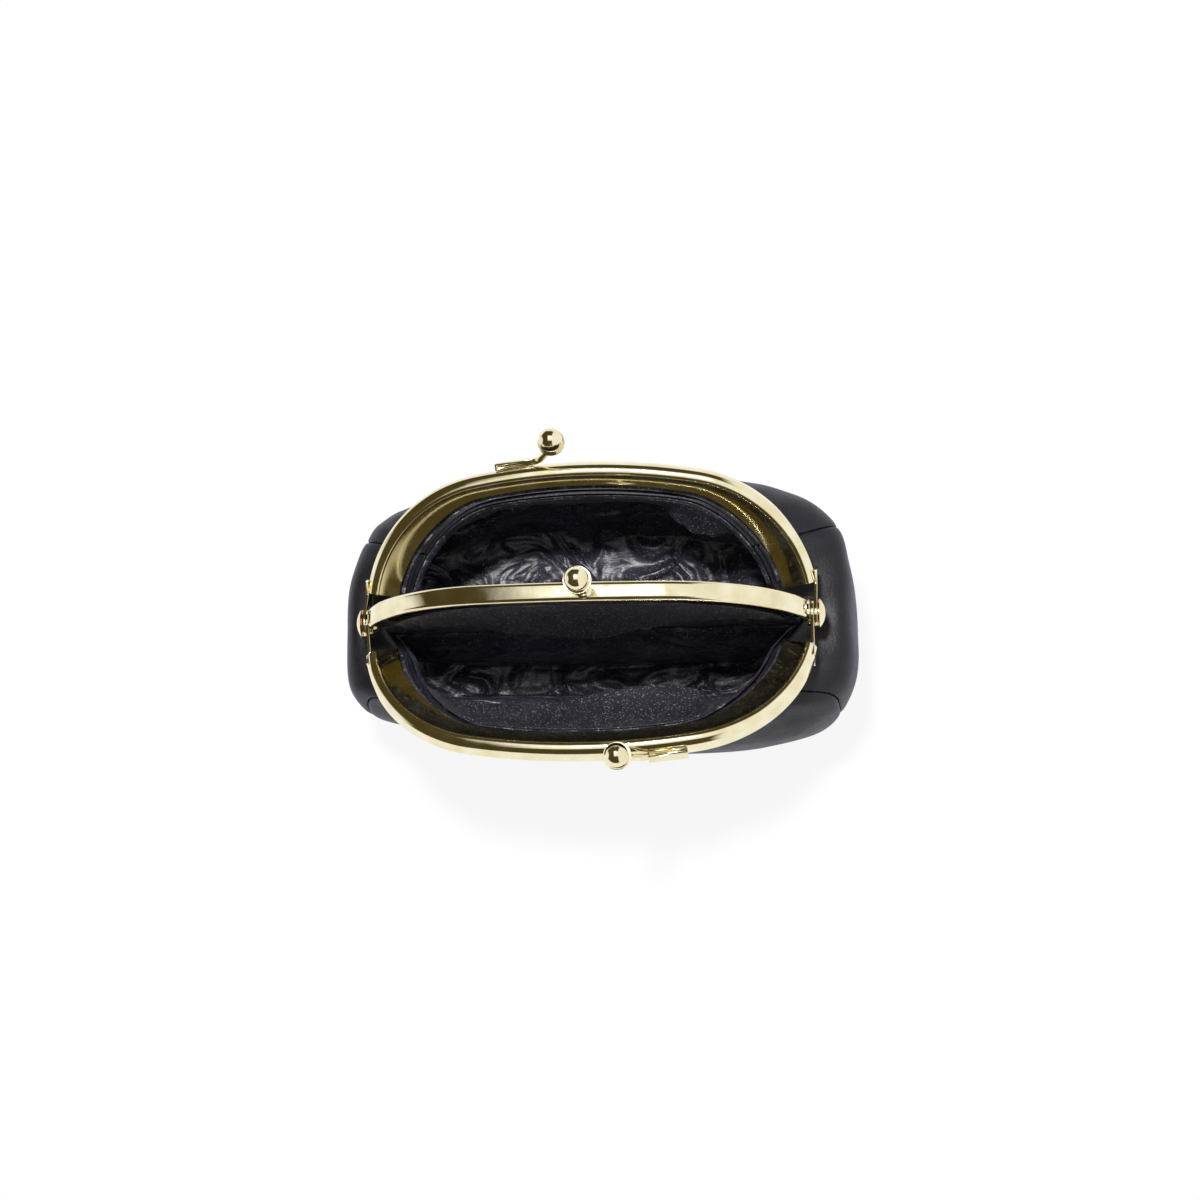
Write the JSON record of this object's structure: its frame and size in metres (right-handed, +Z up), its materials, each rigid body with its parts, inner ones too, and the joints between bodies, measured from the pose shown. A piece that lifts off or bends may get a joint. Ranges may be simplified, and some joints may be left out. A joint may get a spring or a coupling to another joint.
{
  "type": "kiss lock frame purse",
  "caption": "Small leather purse in a nested metal kiss lock frame, divided into compartments, with mouth frames hinged at both sides.",
  "frame": {"origin": "on the resting face of the base, straight below the middle of the hinge line", "axes": "+Z up, +X along the hinge line to the right seen from the front, +Y from the front compartment to the back compartment"},
  "size_m": [0.137, 0.0873, 0.112],
  "materials": {
    "pale_gold_plate": "polished",
    "copper_washer": "polished",
    "black_leather": "satin",
    "facing_cloth": "matte",
    "satin_lining": "satin",
    "padded_divider": "matte",
    "paper_cord": "matte",
    "base_card": "matte"
  },
  "bodies": {
    "bag": {"centre_frame": "pale_gold_plate", "left_hinge_rivet": "pale_gold_plate", "right_hinge_rivet": "pale_gold_plate", "left_hinge_washer": "copper_washer", "right_hinge_washer": "copper_washer", "centre_lock_post": "pale_gold_plate", "centre_lock_cup": "pale_gold_plate", "centre_lock_ball": "pale_gold_plate", "centre_paper_cord": "paper_cord", "front_panel": "black_leather", "back_panel": "black_leather", "left_gusset": "black_leather", "right_gusset": "black_leather", "base_panel": "black_leather", "base_board": "base_card", "divider": "padded_divider", "front_lining": "satin_lining", "back_lining": "satin_lining", "front_facing": "facing_cloth", "back_facing": "facing_cloth", "back_slip_pocket": "satin_lining"},
    "front": {"front_frame": "pale_gold_plate", "front_lock_arm": "pale_gold_plate", "front_lock_cup": "pale_gold_plate", "front_lock_ball": "pale_gold_plate", "front_paper_cord": "paper_cord", "front_leather_hem": "black_leather", "front_lining_hem": "satin_lining"},
    "back": {"back_frame": "pale_gold_plate", "back_lock_arm": "pale_gold_plate", "back_lock_cup": "pale_gold_plate", "back_lock_ball": "pale_gold_plate", "back_paper_cord": "paper_cord", "back_leather_hem": "black_leather", "back_lining_hem": "satin_lining"}
  },
  "joints": [
    {"name": "front_hinge", "type": "hinge", "parent": "bag", "child": "front", "pos_m": [0, 0, 0.06], "axis": [-1, 0, 0], "range_deg": [0, 62.5]},
    {"name": "back_hinge", "type": "hinge", "parent": "bag", "child": "back", "pos_m": [0, 0, 0.06], "axis": [1, 0, 0], "range_deg": [0, 66]}
  ]
}
